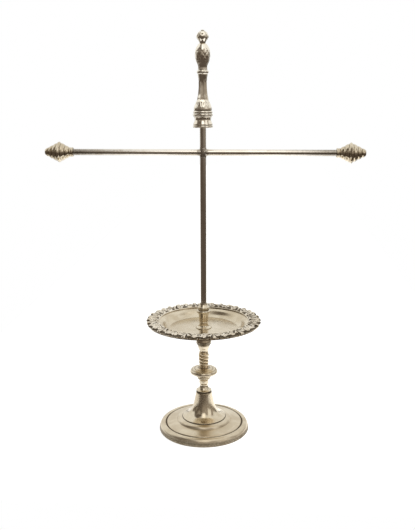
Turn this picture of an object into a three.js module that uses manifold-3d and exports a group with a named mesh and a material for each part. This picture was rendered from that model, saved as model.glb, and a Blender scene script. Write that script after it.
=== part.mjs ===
// A silver-plated T-bar jewelry stand: weighted foot, turned stem, round tray with a cast border,
// post, crossbar with ribbed finials, and a hollow cutlery handle as the top grip.
// Millimetres, +Z up, origin under the middle of the foot, crossbar along X.
import * as THREE from "three";
import { mergeVertices } from "three/addons/utils/BufferGeometryUtils.js";
import Module from "manifold-3d";

const wasm = await Module();
wasm.setup();

// Sides of the turned pieces.
const wideSides = 40;
const bellSides = 28;
const turnedSides = 18;
const rodSides = 16;
const sidesPerFeature = 4; // on each strand, panel, scallop or scale

// Clearances.
const runningClearance = 0.3; // round a rod in its bore
const coveredClearance = 0.6; // round the ballast in the foot
const turnedSeatGap = 0.3; // between the pieces of an arm of the crossbar
const cutOverrun = 2;

// Foot.
const feltMargin = 3; // inside the foot's wall
const feltThickness = 1.6;
const footLift = 0.4; // the felt stands this far below the foot's rim
const footRadius = 48.9;
const footWall = 1.5;
const rimHeight = 8.8;
const rimWidth = 4.9;
const engravedRingWidth = 1.6;
const engravedRingDepth = 0.8;
const annulusRise = 1.9;
const stepLedge = 5.5; // outside the bell
const stepHeight = 2.7;
const stepEdge = 1.9;
const stepTopRise = 0.5;
const ballastHeadroom = 0.3;
const washerRadius = 6.5;
const washerThickness = 1;
const nutAcrossFlats = 7;
const nutThickness = 3.2;
const rodPastNut = 0.7;

// Tie rod.
const tieRodRadius = 2;

// Bell.
const bellRadius = 23.5;
const bellTopRadius = 8.5;
const bellHeight = 29.2;
const bellWall = 1.2;

// Stem.
const spoolRadius = 8.3;
const spoolWaistRadius = 4;
const spoolHeight = 16.8;
const knopRadius = 14.8;
const knopCollarRadius = 7.3;
const knopHeight = 10.4;
const ropeRadius = 5.7;
const ropeHeight = 19.7;
const ropeStrands = 2;
const ropeStrandRise = 4; // height from one strand to the next
const ropeGrooveDepth = 0.8;
const cupRadius = 7.2;
const cupFootRadius = 4.5;
const cupHeight = 7.2;
const trayCollarRadius = 8.1;
const trayCollarFlangeRadius = 14;
const trayCollarHeight = 17.2;

// Tray.
const trayGauge = 1.2;
const wellSlopeWidth = 7.2;
const wellDepth = 5.5;
const wellWallOffset = 0.4; // of the wall's outer face, outwards
const flangeWidth = 4.5;
const flangeRise = 1.8;

// Cast border: a ring of shells, each with a scroll at either side.
const borderRadius = 61.4;
const borderWidth = 13.8;
const borderOverhang = 1.4; // past the tray's edge
const borderThickness = 1.3;
const borderRelief = 1.7;
const borderLobeDepth = 1.5;
const borderShells = 12;
const lobesPerShell = 3;
const sidesPerLobe = 8;

// Socket that holds the post in the tray.
const socketFootRadius = 8.3;
const socketFlangeRadius = 7.6;
const socketWaistRadius = 4.4;
const socketHeight = 27.4;
const socketSeatDepth = 0.4; // recess in the tray that locates the foot
const socketRodDepth = 10.4;
const socketWeb = 2; // between the rod's bore and the post's
const socketLip = 0.55; // round the post at the top

// Post and crossbar.
const postRadius = 3.175;
const postLength = 206;
const postIntoHandle = 7.7;
const barBelowPostTop = 32.5;
const barRadius = 3.175;
const barHalfLength = 133.4; // from the post's axis to a finial's collar
const barStudRadius = 2;
const barStudLength = 14;
const brazeThickness = 2;
const brazeEdgeThickness = 0.4; // at the sides and at the end along the bar
const brazeLength = 2.2;

// Finials.
const finialCollarRadius = 4.9;
const finialCollarLength = 3;
const finialRadius = 11;
const finialLength = 25.7;
const finialTipRadius = 3;
const finialRibDepth = 1;
const finialRibs = 6;
const ribsBeforeWidest = 2;

// Top handle.
const handleStudRadius = 1.5;
const handleStudInPost = 10;
const handleStudInCrown = 4;
const skirtRadius = 10;
const skirtHeight = 11.1;
const skirtWall = 1.3;
const skirtHollow = 3.4;
const beadRingRadius = 9.9;
const beadRingHeight = 6;
const shaftBaseRadius = 9.1;
const shaftWaistRadius = 4.2;
const shaftHeight = 35;
const shaftPanels = 8;
const shaftPanelDepth = 0.4;
const scallops = 8;
const scallopDepth = 0.5;
const handleCollarRadius = 5.9;
const handleCollarHeight = 4.6;
const thistleRadius = 7.8;
const thistleFootRadius = 4.6;
const thistleHeight = 24;
const thistleScales = 8;
const thistleScaleRows = 6;
const thistleScaleDepth = 0.5;
const crownRadius = 6.25;
const crownNeckRadius = 2.95;
const crownHeight = 13;
const crownLeaves = 4;
const crownLeafDepth = 0.9;

// Finishes, from the photograph.
const finishes = {
  plate: { color: 0xd7c8ac, roughness: 0.22, metalness: 1 },
  castPlate: { color: 0xc4b08c, roughness: 0.34, metalness: 1 },
  braze: { color: 0xb9a680, roughness: 0.4, metalness: 1 },
  steel: { color: 0x9a9a98, roughness: 0.4, metalness: 1 },
  iron: { color: 0x4c4a48, roughness: 0.8, metalness: 0.6 },
  felt: { color: 0x2c4a35, roughness: 1, metalness: 0 },
};

// Profiles. Each row is [share of the radius, share of the height], from the bottom up.
const rimShares = [
  [0.85, 0], [1, 0.1], [1, 0.35], [0.9, 0.62], [0.62, 0.86], [0, 1],
];
const bellFlareShares = [
  // share of the way from the top radius to the foot radius
  [1, 0], [1, 0.03], [0.89, 0.05], [0.74, 0.085], [0.56, 0.145], [0.41, 0.23], [0.3, 0.335],
  [0.22, 0.45], [0.13, 0.63], [0.07, 0.8], [0.02, 0.94], [-0.02, 1],
];
const spoolFootShares = [[0.87, 0], [0.87, 0.04], [1, 0.06], [1, 0.12], [0.9, 0.17]];
const spoolWaistShares = [
  [1.5, 0.25], [1.28, 0.32], [1.1, 0.39], [1, 0.45], [1.04, 0.51], [1.15, 0.57], [1.19, 0.66],
  [1.17, 0.74], [1.3, 0.79], [1.55, 0.85], [1.72, 0.9], [1.72, 0.96], [1.6, 1],
];
const knopCollarShares = [[0.9, 0], [1, 0.03], [1, 0.17], [0.9, 0.2]];
const knopShares = [
  [0.62, 0.2], [0.86, 0.31], [0.98, 0.43], [1, 0.535], [0.985, 0.65], [0.93, 0.755], [0.875, 0.81],
  [0.85, 0.76], [0.81, 0.825], [0.66, 0.9], [0.63, 0.855], [0.59, 0.925], [0.42, 1],
];
const ropeShares = [
  [0.9, 0], [0.86, 0.06], [0.88, 0.12], [0.9, 0.18], [0.91, 0.24], [0.92, 0.3], [0.94, 0.36],
  [0.95, 0.42], [0.97, 0.48], [0.99, 0.54], [1, 0.6], [1, 0.66], [1, 0.72], [1, 0.78], [0.97, 0.83],
  [0.9, 0.88], [0.8, 0.92], [0.77, 1],
];
const ropeTwistFromShare = 0.1;
const ropeTwistToShare = 0.9;
const cupShares = [[0, 0], [0.15, 0.15], [0.3, 0.32], [0.5, 0.47], [0.63, 0.62], [0.8, 0.8],
  [1, 0.95], [0.95, 1]];
const trayCollarShares = [
  [0.82, 0], [0.95, 0.04], [1, 0.11], [1, 0.19], [0.97, 0.26], [0.9, 0.37], [0.88, 0.5],
  [0.96, 0.66],
];
const trayCollarFlangeShares = [[0.72, 0.81], [0.92, 0.9], [1, 0.94], [1, 1]];
const socketShares = [
  [1, 0], [1, 0.055], [0.93, 0.08], [0.7, 0.1],
];
const socketWaistShares = [
  [1.08, 0.14], [1.03, 0.2], [1.1, 0.26], [1.1, 0.38], [1.15, 0.48], [1.25, 0.56], [1.36, 0.61],
];
const socketFlangeShares = [
  [0.97, 0.65], [1, 0.678], [0.95, 0.725], [0.75, 0.75], [0.75, 0.795], [0.86, 0.825], [0.8, 0.87],
];
const socketLipFromShare = 0.95;
const skirtShares = [
  [0.97, 0], [1, 0.05], [1, 0.16], [0.97, 0.32], [0.88, 0.48], [0.82, 0.66], [0.83, 0.84],
  [0.92, 1],
];
const beadRingShares = [
  [0.93, 0], [0.98, 0.15], [1, 0.3], [0.98, 0.44], [0.92, 0.53], [0.96, 0.64], [0.95, 0.8],
  [0.9, 0.92], [0.87, 1],
];
const shaftBaseShares = [
  [0.97, 0], [1, 0.043], [0.98, 0.07], [0.87, 0.125], [0.77, 0.183], [0.71, 0.235],
];
const shaftShares = [
  [1.4, 0.29], [1.32, 0.35], [1.2, 0.405], [1.13, 0.46], [1.07, 0.54], [1, 0.65], [1, 0.76],
  [1.04, 0.87], [1.12, 0.925], [1.2, 0.97], [1.16, 1],
];
const handleCollarShares = [[0.87, 0], [0.98, 0.22], [1, 0.44], [0.93, 0.68], [0.8, 0.9], [0.8, 1]];
const ribCrestShare = 0.3; // of a rib's length, from its groove to its crest
const thistleFootShares = [[1, 0], [0.98, 0.06], [1, 0.12]];
const thistleShares = [
  [0.68, 0.2], [0.81, 0.28], [0.9, 0.36], [0.96, 0.44], [1, 0.56], [0.99, 0.66], [0.93, 0.74],
  [0.84, 0.82], [0.7, 0.9], [0.54, 0.97],
];
const crownNeckShares = [[1, 0], [1, 0.06]];
const crownShares = [
  [0.63, 0.2], [0.82, 0.34], [1, 0.48], [0.98, 0.56], [0.91, 0.66], [0.8, 0.76], [0.58, 0.86],
  [0.32, 0.94],
];
const crownWidestShare = 0.5;
// Cross section of the border, from its inner foot round the outer edge and back. Each row is
// [share of the width, share of the thickness, share of the relief that stands there].
const borderSectionShares = [
  [0, 0, 0], [0.95, 0, 0], [1, 0.45, 0], [0.94, 0.8, 0.7], [0.84, 1, 1], [0.72, 1, 1], [0.6, 1, 1],
  [0.48, 1, 1], [0.36, 1, 1], [0.24, 1, 1], [0.12, 0.95, 0.9], [0, 0.85, 0],
];
// Domes that make up the border's relief. Each row is [place from a shell's middle line, place from
// the inner edge, half length, half width, height, depth of the ring round the middle]. Along the
// border the unit is half a motif, across it the border's width, and for the last two the relief.
const borderDomes = [
  [0, 0.18, 0.13, 0.13, 0.9, 0], [0, 0.46, 0.25, 0.26, 0.85, 0], [0, 0.72, 0.4, 0.25, 1, 0],
  [0.59, 0.34, 0.33, 0.33, 0.9, 0.45], [0.69, 0.75, 0.26, 0.24, 0.95, 0.3],
  [1, 0.36, 0.14, 0.2, 0.8, 0], [1, 0.66, 0.34, 0.24, 0.9, 0],
];
const domeRingWidth = 0.18; // of the dome's own half size

// Heights of the stacked pieces.
const footBottom = footLift;
const ballastBottom = feltThickness;
const annulusTop = footBottom + rimHeight + annulusRise;
const footTop = annulusTop + stepHeight + stepTopRise;
const bellBottom = footTop;
const spoolBottom = bellBottom + bellHeight;
const knopBottom = spoolBottom + spoolHeight;
const ropeBottom = knopBottom + knopHeight;
const cupBottom = ropeBottom + ropeHeight;
const trayCollarBottom = cupBottom + cupHeight;
const trayBottom = trayCollarBottom + trayCollarHeight;
const trayFloor = trayBottom + trayGauge;
const traySeat = trayFloor + wellDepth + flangeRise;
const socketBottom = trayFloor - socketSeatDepth;
const postBottom = socketBottom + socketRodDepth + socketWeb;
const postTop = postBottom + postLength;
const barHeight = postTop - barBelowPostTop;
const skirtBottom = postTop - postIntoHandle;
const beadRingBottom = skirtBottom + skirtHeight;
const shaftBottom = beadRingBottom + beadRingHeight;
const handleCollarBottom = shaftBottom + shaftHeight;
const thistleBottom = handleCollarBottom + handleCollarHeight;
const crownBottom = thistleBottom + thistleHeight;

// Sizes that follow from the ones above.
const feltRadius = footRadius - footWall - feltMargin;
const stepRadius = bellRadius + stepLedge;
const footCeiling = rimHeight - engravedRingDepth - footWall; // lowest point inside the foot
const borderInnerRadius = borderRadius - borderWidth;
const traySeatRadius = borderRadius - borderOverhang;
const flangeRadius = borderInnerRadius - runningClearance;
const wellRadius = flangeRadius - flangeWidth;
const wellFloorRadius = wellRadius - wellSlopeWidth;
const postBore = postRadius + runningClearance;
const rodBore = tieRodRadius + runningClearance;
const handleStudBore = handleStudRadius + runningClearance;
const ballastCeiling = footTop - footWall;
const nutBottom = ballastBottom + rodPastNut + runningClearance;
const washerBottom = nutBottom + nutThickness;
const washerSeat = washerBottom + washerThickness;

const quarterTurn = Math.PI / 2;
const fullTurn = Math.PI * 2;
const stand = new THREE.Group();

function addMesh(name, geometry, finish, height, parent = stand) {
  const mesh = new THREE.Mesh(geometry, new THREE.MeshStandardMaterial(finishes[finish]));
  mesh.name = name;
  mesh.position.z = height;
  parent.add(mesh);
}

// Turns an outline of [radius, height] points about Z.
function turned(outline, sides) {
  const points = outline.map(([radius, height]) => new THREE.Vector2(radius, height));
  const geometry = new THREE.LatheGeometry(points, sides);
  const standUp = new THREE.Matrix4().set(0, 0, 1, 0, 1, 0, 0, 0, 0, 1, 0, 0, 0, 0, 0, 1);
  return geometry.applyMatrix4(standUp);
}

function scaled(shares, radius, height) {
  return shares.map(([radiusShare, heightShare]) => [radiusShare * radius, heightShare * height]);
}

// Closes an outer outline with a straight bore through it.
function bored(outline, bore) {
  const bottom = outline[0][1];
  const top = outline[outline.length - 1][1];
  return [[bore, bottom], ...outline, [bore, top], [bore, bottom]];
}

// Adds a bore from below to an outline that ends on the axis at its top.
function boredFromBelow(outline, bore, depth) {
  return [[0, depth], [bore, depth], [bore, 0], ...outline];
}

// Moves each vertex clear of the bore to the radius and height that shape gives.
function carved(geometry, bore, shape) {
  const boreWithRounding = bore * 1.001;
  const position = geometry.getAttribute("position");
  for (let i = 0; i < position.count; i += 1) {
    const x = position.getX(i);
    const y = position.getY(i);
    const radius = Math.hypot(x, y);
    if (radius > boreWithRounding) {
      const angle = Math.atan2(y, x);
      const [newRadius, newHeight] = shape(radius, position.getZ(i), angle);
      position.setXYZ(i, x * newRadius / radius, y * newRadius / radius, newHeight);
    }
  }
  return geometry;
}

function toSolid(geometry) {
  const bare = geometry.clone();
  bare.deleteAttribute("normal");
  bare.deleteAttribute("uv");
  const merged = mergeVertices(bare);
  const corners = merged.index.array;
  const triangles = [];
  for (let i = 0; i < corners.length; i += 3) {
    const [a, b, c] = corners.slice(i, i + 3);
    if (a !== b && b !== c && c !== a) {
      triangles.push(a, b, c);
    }
  }
  return new wasm.Manifold(new wasm.Mesh({
    numProp: 3,
    vertProperties: new Float32Array(merged.getAttribute("position").array),
    triVerts: new Uint32Array(triangles),
  }));
}

function toGeometry(solid) {
  const mesh = solid.getMesh();
  const geometry = new THREE.BufferGeometry();
  geometry.setAttribute("position", new THREE.BufferAttribute(mesh.vertProperties, 3));
  geometry.setIndex(new THREE.BufferAttribute(mesh.triVerts, 1));
  geometry.computeVertexNormals();
  return geometry;
}

function rod(radius, length, sides = rodSides) {
  return turned([[0, 0], [radius, 0], [radius, length], [0, length]], sides);
}

// Foot

function footOutline() {
  const rimInner = footRadius - rimWidth;
  const rim = rimShares.map(([radiusShare, heightShare]) => [
    rimInner + radiusShare * rimWidth,
    heightShare * rimHeight,
  ]);
  const ringOuter = rimInner - engravedRingWidth;
  const ringInner = ringOuter - engravedRingWidth;
  const annulus = rimHeight + annulusRise;
  const stepTop = annulus + stepHeight;
  const top = stepTop + stepTopRise;
  const wallInner = footRadius - footWall;
  const outer = [
    ...rim,
    [ringOuter, rimHeight],
    [(ringOuter + ringInner) / 2, rimHeight - engravedRingDepth],
    [ringInner, rimHeight],
    [stepRadius + stepEdge / 4, annulus],
    [stepRadius, annulus + stepHeight / 3],
    [stepRadius - stepEdge / 4, stepTop - stepEdge / 4],
    [stepRadius - stepEdge, stepTop],
    [bellRadius + stepEdge, top],
    [rodBore, top],
  ];
  const inner = [
    [rodBore, top - footWall],
    [bellRadius + stepEdge - footWall, top - footWall],
    [stepRadius - stepEdge - footWall, stepTop - footWall],
    [stepRadius - footWall, annulus - footWall],
    [stepRadius, annulus - footWall],
    [ringInner, footCeiling],
    [rimInner, footCeiling],
    [wallInner, footCeiling / 2],
    [wallInner, 0],
  ];
  return [...outer, ...inner, outer[0]];
}

function foot() {
  return turned(footOutline(), wideSides);
}

function ballast() {
  const rimRadius = footRadius - rimWidth - footWall + coveredClearance;
  const bossRadius = bellRadius + stepEdge - footWall - coveredClearance;
  const pocketRadius = washerRadius + coveredClearance;
  const pocketDepth = washerSeat - ballastBottom;
  const flangeThickness = footBottom + footCeiling - ballastHeadroom - ballastBottom;
  const height = ballastCeiling - ballastBottom;
  return turned([
    [pocketRadius, 0],
    [rimRadius, 0],
    [rimRadius, flangeThickness],
    [bossRadius, flangeThickness],
    [bossRadius, height],
    [rodBore, height],
    [rodBore, pocketDepth],
    [pocketRadius, pocketDepth],
    [pocketRadius, 0],
  ], wideSides);
}

function washer() {
  const edge = [[washerRadius, 0], [washerRadius, washerThickness]];
  return turned(bored(edge, rodBore), rodSides);
}

function nut() {
  const corners = 6;
  const cornerRadius = nutAcrossFlats / 2 / Math.cos(fullTurn / corners / 2);
  const points = [];
  for (let i = 0; i < corners; i += 1) {
    const angle = fullTurn * i / corners;
    points.push(new THREE.Vector2(cornerRadius * Math.cos(angle), cornerRadius * Math.sin(angle)));
  }
  const outline = new THREE.Shape(points);
  const hole = new THREE.Path();
  hole.absarc(0, 0, rodBore, 0, fullTurn, true);
  outline.holes.push(hole);
  return new THREE.ExtrudeGeometry(outline, {
    depth: nutThickness,
    bevelEnabled: false,
    curveSegments: rodSides,
  });
}

function bell() {
  const spread = bellRadius - bellTopRadius;
  const outer = bellFlareShares.map(([radiusShare, heightShare]) => [
    bellTopRadius + radiusShare * spread,
    heightShare * bellHeight,
  ]);
  const everySecond = outer.filter(([, height], i) => height > bellWall && i % 2 === 1);
  const inner = everySecond.map(([radius, height]) => [radius - bellWall, height - bellWall]);
  const skirt = [bellRadius - bellWall, 0];
  return turned([
    skirt,
    ...outer,
    [rodBore, bellHeight],
    [rodBore, bellHeight - bellWall],
    ...inner.reverse(),
    skirt,
  ], bellSides);
}

// Stem

function spool() {
  const outline = [
    ...scaled(spoolFootShares, spoolRadius, spoolHeight),
    ...scaled(spoolWaistShares, spoolWaistRadius, spoolHeight),
  ];
  return turned(bored(outline, rodBore), turnedSides);
}

function knop() {
  const outline = [
    ...scaled(knopCollarShares, knopCollarRadius, knopHeight),
    ...scaled(knopShares, knopRadius, knopHeight),
  ];
  return turned(bored(outline, rodBore), bellSides);
}

function rope() {
  const outline = scaled(ropeShares, ropeRadius, ropeHeight);
  const twistBottom = ropeTwistFromShare * ropeHeight;
  const twistTop = ropeTwistToShare * ropeHeight;
  const lead = ropeStrands * ropeStrandRise;
  const sides = ropeStrands * sidesPerFeature * 2;
  return carved(turned(bored(outline, rodBore), sides), rodBore, (r, z, angle) => {
    if (z < twistBottom || z > twistTop) {
      return [r, z];
    }
    const strand = Math.cos(ropeStrands * (angle + fullTurn * z / lead));
    return [r - ropeGrooveDepth * (1 - strand) / 2, z];
  });
}

function cup() {
  const spread = cupRadius - cupFootRadius;
  const outline = cupShares.map(([radiusShare, heightShare]) => [
    cupFootRadius + radiusShare * spread,
    heightShare * cupHeight,
  ]);
  return turned(bored(outline, rodBore), turnedSides);
}

function trayCollar() {
  const outline = [
    ...scaled(trayCollarShares, trayCollarRadius, trayCollarHeight),
    ...scaled(trayCollarFlangeShares, trayCollarFlangeRadius, trayCollarHeight),
  ];
  return turned(bored(outline, rodBore), turnedSides);
}

// Tray

function tray() {
  const seatRadius = socketFootRadius + runningClearance;
  const seatHeight = trayGauge - socketSeatDepth;
  const profile = [
    [wellFloorRadius, 0, 0],
    [wellFloorRadius + wellSlopeWidth / 2, wellDepth / 4, wellWallOffset],
    [wellRadius, wellDepth, wellWallOffset],
    [flangeRadius, wellDepth + flangeRise, 0],
    [traySeatRadius, wellDepth + flangeRise, 0],
  ];
  const lower = profile.map(([radius, height, offset]) => [radius + offset, height]);
  const upper = profile.map(([radius, height]) => [radius, height + trayGauge]);
  return turned([
    [rodBore, 0],
    ...lower,
    ...upper.reverse(),
    [seatRadius, trayGauge],
    [seatRadius, seatHeight],
    [rodBore, seatHeight],
    [rodBore, 0],
  ], wideSides);
}

// Height of a lobe's crown at an angle: 1 on its middle line, 0 in the notch beside it.
function lobeCrown(angle) {
  return Math.sqrt(Math.abs(Math.cos(angle * borderShells * lobesPerShell / 2)));
}

// Share of the border's relief at a place in a motif: 0 in the ground, 1 on the highest dome.
function borderForm(fromShell, outward) {
  let highest = 0;
  for (const [along, across, halfLength, halfWidth, height, ringDepth] of borderDomes) {
    const distance = Math.hypot((fromShell - along) / halfLength, (outward - across) / halfWidth);
    if (distance < 1) {
      const ring = Math.exp(-(((distance - 0.5) / domeRingWidth) ** 2));
      highest = Math.max(highest, height * Math.sqrt(1 - distance ** 2) * (1 - ringDepth * ring));
    }
  }
  return highest;
}

function border() {
  const outline = borderSectionShares.map(([widthShare, thicknessShare, reliefShare]) => [
    borderInnerRadius + widthShare * borderWidth,
    thicknessShare * borderThickness + reliefShare * borderRelief,
  ]);
  const closed = [...outline, outline[0]];
  const sides = borderShells * lobesPerShell * sidesPerLobe;
  return carved(turned(closed, sides), borderInnerRadius, (r, z, angle) => {
    const outward = (r - borderInnerRadius) / borderWidth;
    const motifTurns = angle / fullTurn * borderShells;
    const fromShell = Math.abs(motifTurns - Math.round(motifTurns)) * 2;
    const newRadius = r - outward * (1 - lobeCrown(angle)) * borderLobeDepth;
    const crest = Math.max(0, z - borderThickness);
    return [newRadius, z - crest * (1 - borderForm(fromShell, outward))];
  });
}

// Post and crossbar

function socket() {
  const outline = [
    ...scaled(socketShares, socketFootRadius, socketHeight),
    ...scaled(socketWaistShares, socketWaistRadius, socketHeight),
    ...scaled(socketFlangeShares, socketFlangeRadius, socketHeight),
  ];
  const webTop = socketRodDepth + socketWeb;
  return turned([
    [0, socketRodDepth],
    [rodBore, socketRodDepth],
    [rodBore, 0],
    ...outline,
    [postBore + socketLip, socketLipFromShare * socketHeight],
    [postBore + socketLip, socketHeight],
    [postBore, socketHeight],
    [postBore, webTop],
    [0, webTop],
  ], turnedSides);
}

function post() {
  const studDepth = postLength - handleStudInPost;
  return turned([
    [0, 0],
    [postRadius, 0],
    [postRadius, postLength],
    [handleStudBore, postLength],
    [handleStudBore, studDepth],
    [0, studDepth],
  ], rodSides);
}

// The post's shape across an arm, with the joint's clearance, for the cope at the arm's root.
function copeTool() {
  const radius = postRadius + turnedSeatGap;
  const length = (barRadius + brazeThickness + turnedSeatGap + cutOverrun) * 2;
  const tool = new THREE.CylinderGeometry(radius, radius, length, bellSides);
  return toSolid(tool.rotateZ(quarterTurn));
}

function barArm() {
  const studEnd = barHalfLength + barStudLength;
  const blank = turned([
    [0, 0],
    [barRadius, 0],
    [barRadius, barHalfLength],
    [barStudRadius, barHalfLength],
    [barStudRadius, studEnd],
    [0, studEnd],
  ], rodSides);
  return toGeometry(toSolid(blank).subtract(copeTool()));
}

function braze() {
  const inner = barRadius + turnedSeatGap;
  const postFace = postRadius + turnedSeatGap;
  const steps = 3;
  const outer = [[inner + brazeThickness, 0]];
  for (let i = 0; i <= steps; i += 1) {
    const along = i / steps;
    const corner = (brazeThickness - brazeEdgeThickness) * (1 - along) ** 2;
    outer.push([inner + brazeEdgeThickness + corner, postFace + along * brazeLength]);
  }
  const blank = carved(turned(bored(outer, inner), rodSides), inner, (r, z, angle) => {
    const corner = r - inner - brazeEdgeThickness;
    return [inner + brazeEdgeThickness + corner * Math.cos(angle) ** 2, z];
  });
  return toGeometry(toSolid(blank).subtract(copeTool()));
}

function finialCollar() {
  const bore = barStudRadius + runningClearance;
  const groove = finialCollarLength / 6;
  return turned(bored([
    [finialCollarRadius - groove, 0],
    [finialCollarRadius, groove],
    [finialCollarRadius, finialCollarLength - groove],
    [finialCollarRadius - groove, finialCollarLength],
  ], bore), turnedSides);
}

function finial() {
  const bore = barStudRadius + runningClearance;
  const ribLength = finialLength / finialRibs;
  const crestEdge = ribCrestShare * ribLength;
  const widest = (ribsBeforeWidest + 0.5) * ribLength;
  const coneRadius = (height) => (height < widest
    ? THREE.MathUtils.mapLinear(height, 0, widest, finialCollarRadius, finialRadius)
    : THREE.MathUtils.mapLinear(height, widest, finialLength, finialRadius, finialTipRadius));
  const outline = [];
  for (let i = 0; i < finialRibs; i += 1) {
    const start = i * ribLength;
    outline.push(
      [coneRadius(start) - finialRibDepth, start],
      [coneRadius(start + crestEdge), start + crestEdge],
      [coneRadius(start + ribLength - crestEdge), start + ribLength - crestEdge],
    );
  }
  outline.push([finialTipRadius - finialRibDepth, finialLength], [0, finialLength]);
  const depth = barStudLength - finialCollarLength + runningClearance;
  return turned(boredFromBelow(outline, bore, depth), turnedSides);
}

function addArm(side, turn) {
  const arm = new THREE.Group();
  arm.position.z = barHeight;
  arm.rotation.y = turn;
  const collarStart = barHalfLength + turnedSeatGap;
  const finialStart = collarStart + finialCollarLength + turnedSeatGap;
  addMesh(`crossbar_${side}`, barArm(), "plate", 0, arm);
  addMesh(`braze_${side}`, braze(), "braze", 0, arm);
  addMesh(`finial_collar_${side}`, finialCollar(), "plate", collarStart, arm);
  addMesh(`finial_${side}`, finial(), "castPlate", finialStart, arm);
  stand.add(arm);
}

// Top handle

function skirt() {
  const outline = scaled(skirtShares, skirtRadius, skirtHeight);
  const rimInner = outline[0][0] - skirtWall;
  return turned([
    [rimInner, 0],
    ...outline,
    [handleStudBore, skirtHeight],
    [handleStudBore, postIntoHandle],
    [postBore, postIntoHandle],
    [postBore, skirtHollow],
    [rimInner - skirtWall, skirtHollow],
    [rimInner, 0],
  ], turnedSides);
}

function beadRing() {
  const outline = scaled(beadRingShares, beadRingRadius, beadRingHeight);
  return turned(bored(outline, handleStudBore), turnedSides);
}

function shaft() {
  const outline = [
    ...scaled(shaftBaseShares, shaftBaseRadius, shaftHeight),
    ...scaled(shaftShares, shaftWaistRadius, shaftHeight),
  ];
  const cupTop = shaftBaseShares[shaftBaseShares.length - 1][1] * shaftHeight;
  const geometry = turned(bored(outline, handleStudBore), shaftPanels * sidesPerFeature);
  return carved(geometry, handleStudBore, (r, z, angle) => {
    const inCup = z <= cupTop;
    const count = inCup ? scallops : shaftPanels;
    const depth = inCup ? scallopDepth : shaftPanelDepth;
    return [r - depth * (1 - Math.cos(count * angle)) / 2, z];
  });
}

function handleCollar() {
  const outline = scaled(handleCollarShares, handleCollarRadius, handleCollarHeight);
  return turned(bored(outline, handleStudBore), turnedSides);
}

function thistle() {
  const outline = [
    ...scaled(thistleFootShares, thistleFootRadius, thistleHeight),
    ...scaled(thistleShares, thistleRadius, thistleHeight),
    [crownNeckRadius, thistleHeight],
  ];
  const geometry = turned(bored(outline, handleStudBore), thistleScales * sidesPerFeature);
  const rowRise = thistleHeight / thistleScaleRows;
  return carved(geometry, handleStudBore, (r, z, angle) => {
    const slant = z / rowRise * Math.PI;
    const across = Math.cos(thistleScales * angle / 2 + slant / 2) ** 2;
    const along = Math.cos(thistleScales * angle / 2 - slant / 2) ** 2;
    return [r - thistleScaleDepth * (1 - across * along), z];
  });
}

function crown() {
  const outline = [
    ...scaled(crownNeckShares, crownNeckRadius, crownHeight),
    ...scaled(crownShares, crownRadius, crownHeight),
  ];
  const leavesFrom = crownWidestShare * crownHeight;
  const profile = boredFromBelow([...outline, [0, crownHeight]], handleStudBore, handleStudInCrown);
  const geometry = turned(profile, crownLeaves * sidesPerFeature);
  return carved(geometry, handleStudBore, (r, z, angle) => {
    const groove = z > leavesFrom ? (1 - Math.cos(crownLeaves * angle)) / 2 : 0;
    return [r - crownLeafDepth * groove * r / crownRadius, z];
  });
}

const tieRodBottom = nutBottom - rodPastNut;
const tieRodTop = socketBottom + socketRodDepth - runningClearance;
const handleStudBottom = postTop - handleStudInPost + runningClearance;
const handleStudTop = crownBottom + handleStudInCrown - runningClearance;

addMesh("felt_pad", rod(feltRadius, feltThickness, wideSides), "felt", 0);
addMesh("base_foot", foot(), "plate", footBottom);
addMesh("base_weight", ballast(), "iron", ballastBottom);
addMesh("base_washer", washer(), "steel", washerBottom);
addMesh("base_nut", nut(), "steel", nutBottom);
addMesh("tie_rod", rod(tieRodRadius, tieRodTop - tieRodBottom), "steel", tieRodBottom);
addMesh("bell_riser", bell(), "plate", bellBottom);
addMesh("neck_spool", spool(), "plate", spoolBottom);
addMesh("knop", knop(), "plate", knopBottom);
addMesh("twist_stem", rope(), "castPlate", ropeBottom);
addMesh("stem_cup", cup(), "plate", cupBottom);
addMesh("tray_collar", trayCollar(), "plate", trayCollarBottom);
addMesh("tray", tray(), "plate", trayBottom);
addMesh("tray_border", border(), "castPlate", traySeat);
addMesh("post_socket", socket(), "plate", socketBottom);
addMesh("post", post(), "plate", postBottom);
addArm("right", quarterTurn);
addArm("left", -quarterTurn);
addMesh("handle_skirt", skirt(), "plate", skirtBottom);
addMesh("handle_ring", beadRing(), "plate", beadRingBottom);
addMesh("handle_body", shaft(), "castPlate", shaftBottom);
addMesh("handle_collar", handleCollar(), "plate", handleCollarBottom);
addMesh("thistle", thistle(), "castPlate", thistleBottom);
addMesh("crown_ball", crown(), "castPlate", crownBottom);
addMesh(
  "handle_stud",
  rod(handleStudRadius, handleStudTop - handleStudBottom),
  "steel",
  handleStudBottom,
);

export default stand;
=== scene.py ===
"""A silver-plated T-bar jewelry stand: the finish of every piece, the floor, the studio and the camera."""

import math

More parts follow.
